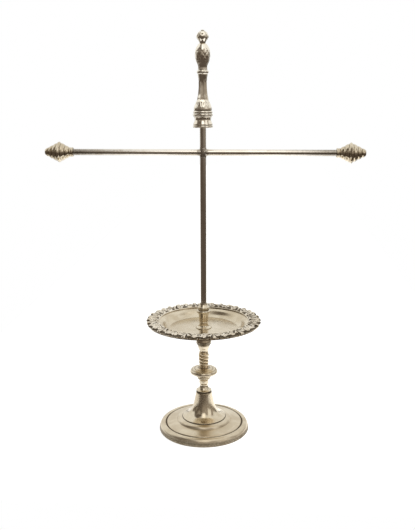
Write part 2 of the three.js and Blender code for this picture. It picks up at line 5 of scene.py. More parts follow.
import bpy
import numpy as np
from mathutils import Euler, Matrix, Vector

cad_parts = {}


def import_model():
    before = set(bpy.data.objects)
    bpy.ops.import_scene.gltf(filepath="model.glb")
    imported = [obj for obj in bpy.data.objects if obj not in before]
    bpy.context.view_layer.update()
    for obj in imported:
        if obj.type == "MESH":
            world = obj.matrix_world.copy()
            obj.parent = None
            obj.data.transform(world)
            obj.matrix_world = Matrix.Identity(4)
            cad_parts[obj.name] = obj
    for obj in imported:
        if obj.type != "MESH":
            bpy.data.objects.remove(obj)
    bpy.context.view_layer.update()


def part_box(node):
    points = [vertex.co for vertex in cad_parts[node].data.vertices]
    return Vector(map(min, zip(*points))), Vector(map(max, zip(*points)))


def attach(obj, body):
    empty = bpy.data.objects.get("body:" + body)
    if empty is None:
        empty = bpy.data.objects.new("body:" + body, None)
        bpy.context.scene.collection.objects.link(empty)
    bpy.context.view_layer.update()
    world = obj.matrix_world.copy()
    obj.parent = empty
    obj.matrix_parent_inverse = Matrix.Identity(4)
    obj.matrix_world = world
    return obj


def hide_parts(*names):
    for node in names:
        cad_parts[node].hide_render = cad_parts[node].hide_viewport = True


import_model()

MM = 0.001
FULL_TURN = 2 * math.pi

# The photographer's view, found from the ellipses of the tray and the foot.
IMAGE_HEIGHT = 530
FOCAL_PIXELS = 720
SENSOR_MM = 36
CAMERA_DISTANCE = 0.7342
CAMERA_HEIGHT = 0.3595
CAMERA_PITCH = math.radians(13.4)
CAMERA_AZIMUTH = math.radians(4.8)
CAMERA_YAW = math.radians(-0.33)
CAMERA_ROLL = math.radians(-0.15)

# Fineness of the meshes.
WIDE_SIDES = 256
TURNED_SIDES = 128
CARVED_SIDES = 288
ROD_SIDES = 64
OUTLINE_STEP = 0.4 * MM
CORNER_BEVEL = 0.12 * MM
SHARP_ANGLE = 40
STRAIGHT_COSINE = 0.9  # of the turn from which a corner is too blunt for a bevel
CAST = "cast_silver_plate"

# Old polish: how far round a point the outline is looked at, how much of a hollow counts as deep,
# and how dark the joints between pieces are.
HOLLOW_REACH = 0.7 * MM
HOLLOW_FROM = 0.1
HOLLOW_GAIN = 3.5
JOINT_DEEP = 0.1 * MM
JOINT_WIDTH = 0.5 * MM
JOINT_SHADE = 0.7
POLISHED_JOINT_SHADE = 0.12
FILLED_JOINT_SHADE = 0.95

# Sizes that the boxes of the nodes don't give, as in the CAD source.
ROD_BORE = 2.3 * MM
STUD_BORE = 1.8 * MM
POST_BORE = 3.475 * MM
BAR_STUD_BORE = 2.3 * MM
SEAT_GAP = 0.3 * MM
FOOT_WALL = 1.5 * MM
BELL_WALL = 1.2 * MM
BAR_STUD_RADIUS = 2 * MM
BAR_STUD_LENGTH = 14 * MM
BRAZE_BLEND = {"left": 1.3 * MM, "right": 1.9 * MM}
BRAZE_SKIN = 0.03 * MM
BRAZE_SLEEVE = 0.35 * MM  # over the post, at its thickest

# Outlines from the bottom up: share of the node's radius, share of its height, and "|" at a corner.
FOOT = [
    (0.969, 0, "|"), (0.986, 0), (0.998, 0.04), (1, 0.1), (0.996, 0.2), (0.987, 0.31),
    (0.976, 0.41), (0.96, 0.5), (0.937, 0.565), (0.912, 0.592), (0.885, 0.596, "|"),
    (0.87, 0.588, "|"), (0.86, 0.52, "|"), (0.838, 0.52, "|"), (0.828, 0.596, "|"), (0.75, 0.645),
    (0.625, 0.72, "|"), (0.615, 0.695, "|"), (0.606, 0.735, "|"), (0.6, 0.79), (0.592, 0.85),
    (0.581, 0.91), (0.563, 0.95), (0.54, 0.965, "|"), (0.51, 0.985), (0.48, 1, "|"),
]
FOOT_INNER = [(0.48, 1), (0.82, 0.61), (0.92, 0.45), (0.969, 0.2)]
BELL = [
    (1, 0, "|"), (1, 0.02, "|"), (0.985, 0.034), (0.932, 0.052), (0.832, 0.085),
    (0.718, 0.145), (0.626, 0.23), (0.556, 0.335), (0.502, 0.45), (0.462, 0.57),
    (0.428, 0.7), (0.4, 0.82), (0.378, 0.92), (0.367, 0.967, "|"), (0.345, 1, "|"),
]
BELL_INNER = [(0.35, 0.93), (0.45, 0.6), (0.545, 0.335), (0.7, 0.12), (0.9, 0.01)]
SPOOL = [
    (0.88, 0, "|"), (0.88, 0.045, "|"), (0.965, 0.055, "|"), (1, 0.075), (1, 0.095),
    (0.95, 0.11, "|"), (0.8, 0.135), (0.69, 0.2), (0.6, 0.28), (0.535, 0.36),
    (0.505, 0.43), (0.52, 0.48), (0.57, 0.53), (0.6, 0.58), (0.61, 0.64),
    (0.605, 0.7), (0.63, 0.76), (0.7, 0.81), (0.79, 0.86), (0.84, 0.9),
    (0.85, 0.935), (0.83, 0.97, "|"), (0.78, 1, "|"),
]
KNOP = [
    (0.47, 0, "|"), (0.51, 0.02), (0.525, 0.09), (0.515, 0.16, "|"), (0.48, 0.185, "|"),
    (0.6, 0.232), (0.8, 0.312), (0.93, 0.405), (0.99, 0.485), (1, 0.565),
    (0.985, 0.67), (0.945, 0.765), (0.9, 0.83, "|"), (0.885, 0.806, "|"), (0.855, 0.816, "|"),
    (0.84, 0.852, "|"), (0.77, 0.892), (0.7, 0.92, "|"), (0.685, 0.895, "|"), (0.655, 0.9, "|"),
    (0.64, 0.932, "|"), (0.54, 0.97), (0.45, 1, "|"),
]
TWIST_STEM = [
    (0.9, 0, "|"), (0.87, 0.05), (0.885, 0.12), (0.91, 0.22), (0.94, 0.34),
    (0.965, 0.46), (0.99, 0.58), (1, 0.66), (1, 0.76), (0.97, 0.84),
    (0.9, 0.885, "|"), (0.82, 0.91, "|"), (0.79, 0.955), (0.79, 1, "|"),
]
CUP = [
    (0.66, 0, "|"), (0.7, 0.13), (0.765, 0.3), (0.83, 0.45), (0.885, 0.62),
    (0.925, 0.8, "|"), (0.905, 0.83, "|"), (0.985, 0.9), (1, 0.95), (0.975, 1, "|"),
]
TRAY_COLLAR = [
    (0.475, 0, "|"), (0.53, 0.017, "|"), (0.568, 0.056), (0.58, 0.123), (0.575, 0.19),
    (0.555, 0.257, "|"), (0.53, 0.35), (0.51, 0.51), (0.56, 0.68), (0.715, 0.82),
    (0.915, 0.893), (0.99, 0.925, "|"), (1, 0.945), (1, 1, "|"),
]
TRAY = [
    (0, 0, "|"), (0.57, 0), (0.6, 0.012), (0.63, 0.06), (0.658, 0.15), (0.684, 0.3),
    (0.703, 0.47), (0.72, 0.62), (0.735, 0.7, "|"), (0.788, 0.859, "|"), (1, 0.859, "|"),
]
TRAY_GAUGE_SHARE = 0.141
TRAY_WALL_OFFSET = 0.35 * MM  # of the wall's outer face
SOCKET = [
    (0.95, 0, "|"), (0.99, 0.012), (1, 0.025), (0.985, 0.04), (0.93, 0.052, "|"),
    (0.76, 0.058), (0.63, 0.08), (0.57, 0.12), (0.545, 0.18), (0.55, 0.225),
    (0.57, 0.238, "|"), (0.6, 0.246), (0.6, 0.262), (0.575, 0.27, "|"), (0.58, 0.37),
    (0.605, 0.47), (0.65, 0.55), (0.71, 0.615, "|"), (0.8, 0.628, "|"), (0.89, 0.648),
    (0.915, 0.678), (0.9, 0.706), (0.83, 0.73, "|"), (0.69, 0.745, "|"), (0.68, 0.77),
    (0.69, 0.8, "|"), (0.77, 0.815, "|"), (0.79, 0.84), (0.76, 0.865), (0.66, 0.893),
    (0.565, 0.93), (0.5, 0.967), (0.478, 1, "|"),
]
SKIRT = [
    (0.96, 0, "|"), (0.995, 0.035), (1, 0.1), (0.985, 0.165, "|"), (0.96, 0.19, "|"),
    (0.965, 0.31), (0.885, 0.48), (0.815, 0.66), (0.82, 0.81), (0.87, 0.92, "|"),
    (0.925, 0.94, "|"), (0.925, 1, "|"),
]
BEAD_RING = [
    (0.93, 0, "|"), (0.965, 0.06), (0.99, 0.14), (1, 0.24), (0.99, 0.36), (0.955, 0.45),
    (0.92, 0.5, "|"), (0.95, 0.54), (0.97, 0.62), (0.965, 0.74), (0.935, 0.84),
    (0.89, 0.9, "|"), (0.88, 0.95, "|"), (0.91, 1, "|"),
]
SHAFT = [
    (0.99, 0, "|"), (1, 0.02), (0.99, 0.05), (0.965, 0.085), (0.91, 0.13),
    (0.83, 0.18), (0.75, 0.235, "|"), (0.72, 0.245, "|"), (0.655, 0.29), (0.615, 0.35),
    (0.565, 0.405), (0.53, 0.46), (0.5, 0.54), (0.468, 0.65), (0.468, 0.76),
    (0.487, 0.87), (0.525, 0.93), (0.56, 0.975, "|"), (0.545, 1, "|"),
]
HANDLE_COLLAR = [
    (0.86, 0, "|"), (0.93, 0.1), (0.99, 0.27), (1, 0.42), (0.97, 0.58),
    (0.9, 0.68, "|"), (0.83, 0.72, "|"), (0.8, 0.86), (0.8, 1, "|"),
]
THISTLE = [
    (0.6, 0, "|"), (0.59, 0.05), (0.61, 0.11), (0.69, 0.19), (0.81, 0.27),
    (0.91, 0.35), (0.96, 0.43), (0.985, 0.51), (1, 0.59), (0.985, 0.665),
    (0.93, 0.744), (0.845, 0.823), (0.7, 0.9), (0.54, 0.975), (0.43, 1, "|"),
]
CROWN = [
    (0.472, 0, "|"), (0.475, 0.04), (0.535, 0.12), (0.64, 0.2), (0.83, 0.33),
    (0.97, 0.45), (1, 0.5), (0.985, 0.56), (0.91, 0.66), (0.78, 0.76),
    (0.58, 0.84), (0.38, 0.895), (0.26, 0.92), (0.27, 0.955), (0.16, 0.988), (0, 1, "|"),
]
FINIAL_COLLAR = [
    (0.86, 0, "|"), (0.97, 0.09), (1, 0.22), (0.965, 0.36, "|"), (0.93, 0.41, "|"),
    (0.93, 0.66, "|"), (0.97, 0.72), (0.985, 0.86), (0.9, 1, "|"),
]
FINIAL_RIBS = 6
FINIAL_RIB_STEPS = 14
FINIAL_NOTCHES = 24  # round each rib
FINIAL_NOTCH_DEPTH = 0.07 * MM
FINIAL_WIDEST = 2.5  # ribs from the collar
FINIAL_RIB_DEPTH = 0.9 * MM
FINIAL_ROOT_SHARE = 0.46
FINIAL_TIP_SHARE = 0.28


def smoothstep(low, high, value):
    t = np.clip((value - low) / (high - low), 0, 1)
    return t * t * (3 - 2 * t)


def catmull_rom(before, start, end, after, t):
    return 0.5 * (
        2 * start
        + (end - before) * t
        + (2 * before - 5 * start + 4 * end - after) * t ** 2
        + (3 * start - before - 3 * end + after) * t ** 3
    )


def smooth_run(points):
    """A dense line through points, which turns smoothly at each."""
    if len(points) == 2:
        return points
    line = []
    for i in range(len(points) - 1):
        start, end = points[i], points[i + 1]
        before = points[i - 1] if i else 2 * start - end
        after = points[i + 2] if i + 2 < len(points) else 2 * end - start
        steps = max(2, math.ceil(np.linalg.norm(end - start) / OUTLINE_STEP))
        line += [catmull_rom(before, start, end, after, k / steps) for k in range(steps)]
    return line + [points[-1]]


def bevelled(line):
    """Cuts each sharp corner of a line back with a small bevel of two edges."""
    result = [line[0]]
    for i in range(1, len(line) - 1):
        into, out = line[i] - line[i - 1], line[i + 1] - line[i]
        long_in, long_out = np.linalg.norm(into), np.linalg.norm(out)
        if np.dot(into, out) > STRAIGHT_COSINE * long_in * long_out:
            result.append(line[i])
            continue
        first = line[i] - into / long_in * min(CORNER_BEVEL, long_in / 3)
        last = line[i] + out / long_out * min(CORNER_BEVEL, long_out / 3)
        result += [first, line[i] * 0.4 + (first + last) * 0.3, last]
    return result + [line[-1]]


def outline(rows, radius, bottom, height):
    """A dense outline from rows of radius share, height share and corner mark, its corners bevelled."""
    points = [np.array([row[0] * radius, bottom + row[1] * height]) for row in rows]
    line, run = [], [points[0]]
    for point, row in zip(points[1:], rows[1:]):
        run.append(point)
        if row[2:]:
            line += smooth_run(run)[:-1]
            run = [point]
    return np.array(bevelled(line + smooth_run(run) if len(run) > 1 else line + run))


def hollowness(line, joint_shade):
    """How deep each point of an outline lies in a groove or a joint, from 0 to 1."""
    steps = np.linalg.norm(np.diff(line, axis=0), axis=1)
    along = np.concatenate([[0], np.cumsum(steps)])
    ahead, behind = (
        np.stack([np.interp(along + shift, along, line[:, axis]) for axis in (0, 1)], axis=1)
        for shift in (HOLLOW_REACH, -HOLLOW_REACH)
    )
    tangent = ahead - behind
    tangent /= np.linalg.norm(tangent, axis=1, keepdims=True) + 1e-12
    outward = np.stack([tangent[:, 1], -tangent[:, 0]], axis=1)
    sunk = np.sum(((ahead + behind) / 2 - line) * outward, axis=1) / HOLLOW_REACH
    from_end = np.minimum(along, along[-1] - along)
    joint = joint_shade * (1 - smoothstep(JOINT_DEEP, JOINT_WIDTH, from_end))
    return np.clip(np.maximum((sunk - HOLLOW_FROM) * HOLLOW_GAIN, joint), 0, 1)


def make_piece(node, points, faces, recess, material, slot):
    """A finer mesh that stands for a node, in the given material; the slot is not used."""
    name = f"{node}_fine"
    mesh = bpy.data.meshes.new(name)
    mesh.from_pydata(points.tolist(), [], faces)
    # How dark each point is: patina in hollows, and on a few pieces painted shade.
    attribute = mesh.attributes.new("recess", "FLOAT", "POINT")
    attribute.data.foreach_set("value", np.asarray(recess, np.float32))
    mesh.shade_smooth()
    mesh.set_sharp_from_angle(angle=math.radians(SHARP_ANGLE))
    mesh.materials.append(material)
    piece = bpy.data.objects.new(name, mesh)
    bpy.context.scene.collection.objects.link(piece)
    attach(piece, "root")
    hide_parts(node)


def loop_mesh(radius, height, recess):
    """Points, faces and recesses of a closed loop of rings. A ring of no radius becomes one point."""
    rings, sides = radius.shape
    angle = np.arange(sides) * FULL_TURN / sides
    points, shade, index = [], [], []
    for i in range(rings):
        start = len(points)
        if radius[i].max() < 1e-9:
            points.append((0, 0, height[i, 0]))
            shade.append(recess[i, 0])
            index.append(np.full(sides, start))
        else:
            points += list(zip(radius[i] * np.cos(angle), radius[i] * np.sin(angle), height[i]))
            shade += recess[i].tolist()
            index.append(np.arange(start, start + sides))
    faces = []
    for i in range(rings):
        lower, upper = index[i], index[(i + 1) % rings]
        lower_next, upper_next = np.roll(lower, -1), np.roll(upper, -1)
        if lower[0] == lower[1] and upper[0] == upper[1]:
            continue
        if lower[0] == lower[1]:
            faces += np.stack([lower, upper_next, upper], axis=1).tolist()
        elif upper[0] == upper[1]:
            faces += np.stack([lower, lower_next, upper], axis=1).tolist()
        else:
            faces += np.stack([lower, lower_next, upper_next, upper], axis=1).tolist()
    return np.array(points), faces, shade


def turn(
        node, line, inner, material, slot="silver_plate", sides=TURNED_SIDES, carve=None, place=None,
        joint_shade=JOINT_SHADE):
    """Turns an outline, closed by the inner points, about Z into the piece that stands for a node.

    carve(radius, rise, angle) gives how far each point of the outline is cut inwards and how much
    patina lies there, and on the foot's rim how much painted shade. place(points) moves the finished points.
    """
    angle = np.tile(np.arange(sides) * FULL_TURN / sides, (len(line), 1))
    radius = np.repeat(line[:, :1], sides, axis=1)
    height = np.repeat(line[:, 1:], sides, axis=1)
    recess = np.repeat(hollowness(line, joint_shade)[:, None], sides, axis=1)
    if carve:
        low, high = line[:, 1].min(), line[:, 1].max()
        cut, shade = carve(radius, (height - low) / (high - low), angle)
        radius = radius - cut
        recess = np.maximum(recess, shade)
    inside = np.repeat(np.array(inner)[:, :, None], sides, axis=2)
    radius = np.vstack([radius, inside[:, 0]])
    height = np.vstack([height, inside[:, 1]])
    recess = np.vstack([recess, np.zeros((len(inner), sides))])
    points, faces, shade = loop_mesh(radius, height, recess)
    if place:
        points = place(points)
    make_piece(node, points, faces, shade, material, slot)


def span(node):
    """Radius, bottom and height of a node that stands on the stand's axis."""
    low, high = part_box(node)
    return high[0], low[2], high[2] - low[2]


def through_bore(bore, line):
    """Inner points of a piece with a straight bore."""
    return [(bore, line[-1][1]), (bore, line[0][1])]


def turned_node(node, rows, bore, material, **settings):
    """A piece on the stand's axis with a straight bore through it. The settings are those of turn."""
    line = outline(rows, *span(node))
    turn(node, line, through_bore(bore, line), material, **settings)


# Materials


def add(tree, kind, inputs=None, **settings):
    """Adds a node. Each input is a value or the socket that feeds it."""
    node = tree.nodes.new(kind)
    for key, value in settings.items():
        setattr(node, key, value)
    for key, value in (inputs or {}).items():
        if isinstance(value, bpy.types.NodeSocket):
            tree.links.new(value, node.inputs[key])
        else:
            node.inputs[key].default_value = value
    return node


def calculate(tree, operation, *values, clamp=False):
    inputs = dict(enumerate(values))
    return add(tree, "ShaderNodeMath", inputs, operation=operation, use_clamp=clamp).outputs[0]


def map_range(tree, value, low, high, to_low, to_high):
    inputs = {"Value": value, "From Min": low, "From Max": high, "To Min": to_low, "To Max": to_high}
    return add(tree, "ShaderNodeMapRange", inputs, interpolation_type="SMOOTHSTEP").outputs[0]


def mix_color(tree, factor, first, second):
    inputs = {0: factor, 6: first, 7: second}
    return add(tree, "ShaderNodeMix", inputs, data_type="RGBA").outputs[2]


def noise(tree, place, scale, detail=4, roughness=0.55, distortion=0):
    inputs = {"Vector": place, "Scale": scale, "Detail": detail}
    inputs |= {"Roughness": roughness, "Distortion": distortion}
    return add(tree, "ShaderNodeTexNoise", inputs).outputs["Fac"]


def new_material(name):
    material = bpy.data.materials.new(name)
    material.use_nodes = True
    tree = material.node_tree
    place = add(tree, "ShaderNodeTexCoord").outputs["Object"]
    return material, tree, tree.nodes["Principled BSDF"], place


def bump(tree, shader, height, strength, distance):
    inputs = {"Height": height, "Strength": strength, "Distance": distance}
    tree.links.new(add(tree, "ShaderNodeBump", inputs).outputs[0], shader.inputs["Normal"])


BRIGHT_SILVER = (0.71, 0.63, 0.49, 1)
WARM_SILVER = (0.53, 0.44, 0.31, 1)
BRIGHT_ROD = (0.86, 0.81, 0.73, 1)
WARM_ROD = (0.72, 0.65, 0.54, 1)
BRIGHT_HANDLE = (0.93, 0.875, 0.765, 1)
WARM_HANDLE = (0.77, 0.69, 0.56, 1)
BRIGHT_CREST = (0.84, 0.77, 0.65, 1)
WARM_CREST = (0.58, 0.49, 0.36, 1)
GOLDEN_SILVER = (0.76, 0.65, 0.48, 1)
BROWN_SILVER = (0.5, 0.36, 0.19, 1)
# Dark colour for the patina in hollows, and for painted shade on a few pieces.
PATINA_AND_SHADE = (0.08, 0.056, 0.03, 1)
STEEL_COLORS = (0.30, 0.30, 0.29, 1), (0.42, 0.41, 0.38, 1)
IRON_COLORS = (0.07, 0.068, 0.066, 1), (0.13, 0.06, 0.03, 1)
FELT_COLORS = (0.012, 0.035, 0.018, 1), (0.05, 0.11, 0.06, 1)
LINT_COLOR = (0.12, 0.14, 0.1, 1)
FLAT_MARK_SPACING = 0.55 * MM
SLIM_MARK_SPACING = 0.45 * MM
THREAD_PITCH = 0.8 * MM
HAIR_ALONG_SCALE = 35
HAIR_ACROSS_SCALE = 2600


def tool_marks(tree, place, axis, spacing):
    """Fine lines that a lathe leaves: rings round Z on flat faces, bands along an axis on slim ones."""
    lines_per_unit = FULL_TURN / 20 / spacing  # a wave has 20 radians to the unit
    inputs = {"Vector": place, "Scale": lines_per_unit, "Distortion": 1.5, "Detail": 3, "Detail Scale": 2}
    if axis == "RINGS":
        wave = add(tree, "ShaderNodeTexWave", inputs, wave_type="RINGS", rings_direction="Z")
    else:
        wave = add(tree, "ShaderNodeTexWave", inputs, wave_type="BANDS", bands_direction=axis)
    return wave.outputs["Fac"]


def scratches(tree, place, angle):
    """Hairlines that run across the piece at an angle."""
    turned = add(tree, "ShaderNodeMapping", {
        "Vector": place, "Rotation": (angle, angle * 0.7, angle * 1.3),
        "Scale": (HAIR_ACROSS_SCALE, HAIR_ALONG_SCALE, HAIR_ALONG_SCALE),
    }).outputs[0]
    return map_range(tree, noise(tree, turned, 1, detail=2), 0.66, 0.72, 0, 1)


def silver(
        name, roughness, marks=None, mark_spacing=0, cast=0, bright=BRIGHT_SILVER, tarnished=WARM_SILVER):
    """Silver plate: blotched tarnish, tool marks, hairlines, and patina and painted shade where the recess
    says so.
    """
    material, tree, shader, place = new_material(name)
    blotches = noise(tree, place, 55, detail=5, distortion=0.6)
    specks = noise(tree, place, 700, detail=3)
    tarnish = calculate(tree, "MULTIPLY_ADD", specks, 0.35, map_range(tree, blotches, 0.35, 0.7, -0.1, 0.6))
    clean = mix_color(tree, calculate(tree, "ADD", tarnish, 0, clamp=True), bright, tarnished)
    depth = add(tree, "ShaderNodeAttribute", attribute_name="recess").outputs["Fac"]
    grime_and_shade = calculate(tree, "MULTIPLY_ADD", calculate(tree, "SUBTRACT", specks, 0.5), 0.5, depth)
    shade = map_range(tree, grime_and_shade, 0.25, 0.95, 0, 0.93)
    color = mix_color(tree, shade, clean, PATINA_AND_SHADE)
    tree.links.new(color, shader.inputs["Base Color"])
    shader.inputs["Metallic"].default_value = 1
    worn = calculate(tree, "MULTIPLY_ADD", blotches, 0.14, roughness - 0.06)
    tree.links.new(calculate(tree, "MULTIPLY_ADD", shade, 0.25, worn), shader.inputs["Roughness"])
    hairs = calculate(tree, "ADD", scratches(tree, place, 0.6), scratches(tree, place, -1.1))
    relief = calculate(tree, "MULTIPLY", hairs, -0.5)
    if marks:
        relief = calculate(tree, "MULTIPLY_ADD", tool_marks(tree, place, marks, mark_spacing), 0.5, relief)
    if cast:
        grain = noise(tree, place, 1500, detail=4)
        relief = calculate(tree, "MULTIPLY_ADD", grain, cast, relief)
    bump(tree, shader, relief, 0.5, 0.008 * MM)
    return material


def steel():
    material, tree, shader, place = new_material("threaded_steel")
    oil = noise(tree, place, 180, detail=5)
    color = mix_color(tree, oil, *STEEL_COLORS)
    tree.links.new(color, shader.inputs["Base Color"])
    shader.inputs["Metallic"].default_value = 1
    tree.links.new(calculate(tree, "MULTIPLY_ADD", oil, 0.2, 0.28), shader.inputs["Roughness"])
    bump(tree, shader, tool_marks(tree, place, "Z", THREAD_PITCH), 0.6, 0.2 * MM)
    return material


def cast_iron():
    material, tree, shader, place = new_material("rough_iron")
    rust = noise(tree, place, 260, detail=6)
    color = mix_color(tree, map_range(tree, rust, 0.45, 0.75, 0, 1), *IRON_COLORS)
    tree.links.new(color, shader.inputs["Base Color"])
    shader.inputs["Metallic"].default_value = 0.6
    tree.links.new(calculate(tree, "MULTIPLY_ADD", rust, 0.3, 0.6), shader.inputs["Roughness"])
    bump(tree, shader, noise(tree, place, 1100, detail=5), 0.9, 0.25 * MM)
    return material


def felt():
    material, tree, shader, place = new_material("green_felt")
    fibres = noise(tree, place, 1800, detail=6, roughness=0.75, distortion=2)
    lint = noise(tree, place, 120, detail=4)
    color = mix_color(tree, fibres, *FELT_COLORS)
    color = mix_color(tree, calculate(tree, "MULTIPLY", lint, 0.3), color, LINT_COLOR)
    tree.links.new(color, shader.inputs["Base Color"])
    shader.inputs["Roughness"].default_value = 1
    shader.inputs["Sheen Weight"].default_value = 0.6
    shader.inputs["Sheen Roughness"].default_value = 0.5
    bump(tree, shader, fibres, 1, 0.3 * MM)
    return material


WIDE_PLATE = silver("silver_wide_turned", 0.22, "RINGS", FLAT_MARK_SPACING)
FOOT_PLATE = silver("silver_foot", 0.29, "RINGS", FLAT_MARK_SPACING)
STEM_PLATE = silver("silver_turned", 0.17, "Z", SLIM_MARK_SPACING)
ROD_PLATE = silver("silver_rod", 0.13, bright=BRIGHT_ROD, tarnished=WARM_ROD)
ARM_PLATE = silver("silver_arm_turned", 0.18, "X", SLIM_MARK_SPACING)
CAST_PLATE = silver("silver_cast", 0.15, cast=1, bright=BRIGHT_CREST, tarnished=WARM_CREST)
HANDLE_PLATE = silver("silver_handle", 0.12, cast=0.4, bright=BRIGHT_HANDLE, tarnished=WARM_HANDLE)
FINIAL_PLATE = silver("silver_finial", 0.15, cast=1.2)
ROPE_PLATE = silver("silver_rope", 0.16, cast=0.8, bright=GOLDEN_SILVER, tarnished=BROWN_SILVER)
BRAZE_METAL = silver("silver_braze", 0.16, cast=1, bright=BRIGHT_ROD, tarnished=WARM_ROD)
STEEL = steel()
IRON = cast_iron()
FELT = felt()


def finish_inner_nodes():
    """The pieces that the shells hide keep their CAD shape."""
    finishes = {
        "base_weight": IRON, "base_washer": STEEL, "base_nut": STEEL, "tie_rod": STEEL, "handle_stud": STEEL,
    }
    for node, material in finishes.items():
        body = bpy.data.objects[node]
        body.data.materials.clear()
        body.data.materials.append(material)


FRAY_DEPTH = 0.08 * MM


def felt_pad():
    """A pad with a rounded, slightly uneven edge."""
    radius, bottom, height = span("felt_pad")
    rows = [(0, 0, "|"), (0.985, 0), (0.998, 0.15), (1, 0.5), (0.998, 0.85), (0.985, 1), (0, 1, "|")]
    line = outline(rows, radius, bottom, height)

    def frayed(edge, rise, angle):
        wave = np.sin(angle * 31) * np.sin(angle * 17 + 1) + np.sin(angle * 57 + 2)
        return FRAY_DEPTH * (1 + wave / 2) * smoothstep(0.97, 1, edge / radius), np.zeros_like(edge)

    turn("felt_pad", line[1:-1], [line[-1], line[0]], FELT, "felt", WIDE_SIDES, frayed)


# Foot and stem

# Painted shade on the lower side of the foot's rim, standing in for a darker reflection of the floor.
RIM_SHADE = 0.72


def foot():
    radius, bottom, height = span("base_foot")
    line = outline(FOOT, radius, bottom, height)
    under = [(share * radius, bottom + rise * height - FOOT_WALL) for share, rise in FOOT_INNER]
    inner = [(ROD_BORE, line[-1][1]), (ROD_BORE, line[-1][1] - FOOT_WALL), *under]

    def rim_shade_and_joint(edge, rise, angle):
        """Painted shade low on the rim's side, for a darker reflection, and old polish round the bell."""
        side = smoothstep(0.94, 0.98, edge / radius) * (1 - smoothstep(0.25, 0.5, rise))
        joint = 1 - smoothstep(0.485, 0.5, edge / radius)
        return np.zeros_like(edge), np.maximum(RIM_SHADE * side, FILLED_JOINT_SHADE * joint)

    turn("base_foot", line, inner, FOOT_PLATE, sides=WIDE_SIDES, carve=rim_shade_and_joint)


def bell():
    radius, bottom, height = span("bell_riser")
    line = outline(BELL, radius, bottom, height)
    under = [(share * radius - BELL_WALL / 2, bottom + rise * height) for share, rise in BELL_INNER]
    inner = [(ROD_BORE, line[-1][1]), (ROD_BORE, line[-1][1] - BELL_WALL), *under]

    def jointed(edge, rise, angle):
        """Old polishing paste that fills the joints at both ends."""
        joints = np.maximum(1 - smoothstep(0.018, 0.034, rise), smoothstep(0.955, 0.98, rise))
        return np.zeros_like(edge), FILLED_JOINT_SHADE * joints

    turn("bell_riser", line, inner, STEM_PLATE, sides=WIDE_SIDES, carve=jointed)


STRANDS = 2
STRAND_RISE = 4 * MM
STRAND_GROOVE = 1.5 * MM
TWIST_FROM, TWIST_TO = 0.1, 0.9


def twist_strands(radius, rise, angle):
    """Rope strands between the bulb and the neck above it."""
    height = span("twist_stem")[2]
    turns = rise * height / (STRANDS * STRAND_RISE)
    across = ((angle / FULL_TURN + turns) * STRANDS) % 1 * 2 - 1
    groove = 1 - np.sqrt(1 - 0.97 * across ** 2)
    fade = smoothstep(TWIST_FROM - 0.02, TWIST_FROM + 0.03, rise) * (
        1 - smoothstep(TWIST_TO - 0.04, TWIST_TO, rise))
    return fade * STRAND_GROOVE * groove, fade * smoothstep(0.2, 0.6, groove)


COLLAR_BEAD_SHADE = 0.8


def under_tray(radius, rise, angle):
    """A darker colour on the collar's bead, just below the tray."""
    bead = smoothstep(0, 0.03, rise) * (1 - smoothstep(0.1, 0.2, rise))
    return np.zeros_like(radius), COLLAR_BEAD_SHADE * bead


# Tray


def tray():
    """The dished tray, with the recess that locates the socket."""
    radius, bottom, height = span("tray")
    gauge = TRAY_GAUGE_SHARE * height
    socket_radius, seat, _ = span("post_socket")
    seat_radius = socket_radius + SEAT_GAP
    lower = outline([(ROD_BORE / radius, 0, "|"), *TRAY[1:]], radius, bottom, height)
    rise = (lower[:, 1] - bottom) / height
    lower[:, 0] += TRAY_WALL_OFFSET * smoothstep(0.01, 0.1, rise) * (1 - smoothstep(0.7, 0.85, rise))
    upper = outline([(seat_radius / radius, 0, "|"), *TRAY[1:]], radius, bottom + gauge, height)[::-1]
    line = np.vstack([lower, upper, [[seat_radius, seat], [ROD_BORE, seat]]])
    turn("tray", line[:-1], [line[-1]], WIDE_PLATE, sides=WIDE_SIDES)


BORDER_MOTIFS = 12
BORDER_COLUMNS = 96  # to a motif
BORDER_ROWS = 48
BORDER_THICKNESS_SHARE = 0.433
LOBES = 3
LOBE_DEPTH = 2.0 * MM
BORDER_WIDTH = 13.8 * MM
SMALL_LOBE_DEPTH = 0.3 * MM
WORN_DEPTH = 0.35 * MM
SPIRAL_POINTS = 26
SHADED_SIDE_AZIMUTH = math.radians(50)  # painted shade: the side of the border that is painted darkest, as if turned from the light
# The ring's edges and underside, from its inner edge out: share of the width, of the thickness, and shade.
BORDER_UNDER = [(0, 0, 0.3), (0.5, 0, 0.3), (0.97, 0, 0.3), (1, 0.3, 0.2)]


def stroke(s, t, path, widths, heights):
    """Relief of a rounded stroke whose half width and height change evenly along its path."""
    relief = np.zeros_like(s)
    last = len(path) - 1
    for i in range(last):
        start, step = path[i], path[i + 1] - path[i]
        along = np.clip(((s - start[0]) * step[0] + (t - start[1]) * step[1]) / step.dot(step), 0, 1)
        distance = np.hypot(s - start[0] - along * step[0], t - start[1] - along * step[1])
        share = (i + along) / last
        width = widths[0] + (widths[1] - widths[0]) * share
        height = heights[0] + (heights[1] - heights[0]) * share
        relief = np.maximum(relief, height * np.sqrt(np.clip(1 - (distance / width) ** 2, 0, 1)))
    return relief


def spiral(centre, from_radius, to_radius, from_angle, turns):
    share = np.linspace(0, 1, SPIRAL_POINTS)
    angle = math.radians(from_angle) + share * turns * FULL_TURN
    radius = from_radius + (to_radius - from_radius) * share
    return np.stack([centre[0] + radius * np.cos(angle), centre[1] + radius * np.sin(angle)], axis=1)


def fan(s, t, pivot, spread, ribs, near, far, widths, heights):
    """Ribs that radiate from a pivot, the middle one longest."""
    relief = np.zeros_like(s)
    for i in range(ribs):
        lean = spread * (i / (ribs - 1) - 0.5)
        direction = np.array([math.sin(math.radians(lean)), math.cos(math.radians(lean))])
        reach = far * (1 - 0.22 * abs(lean / spread * 2) ** 2)
        path = np.array([pivot + direction * near, pivot + direction * reach])
        relief = np.maximum(relief, stroke(s, t, path, widths, heights))
    return relief


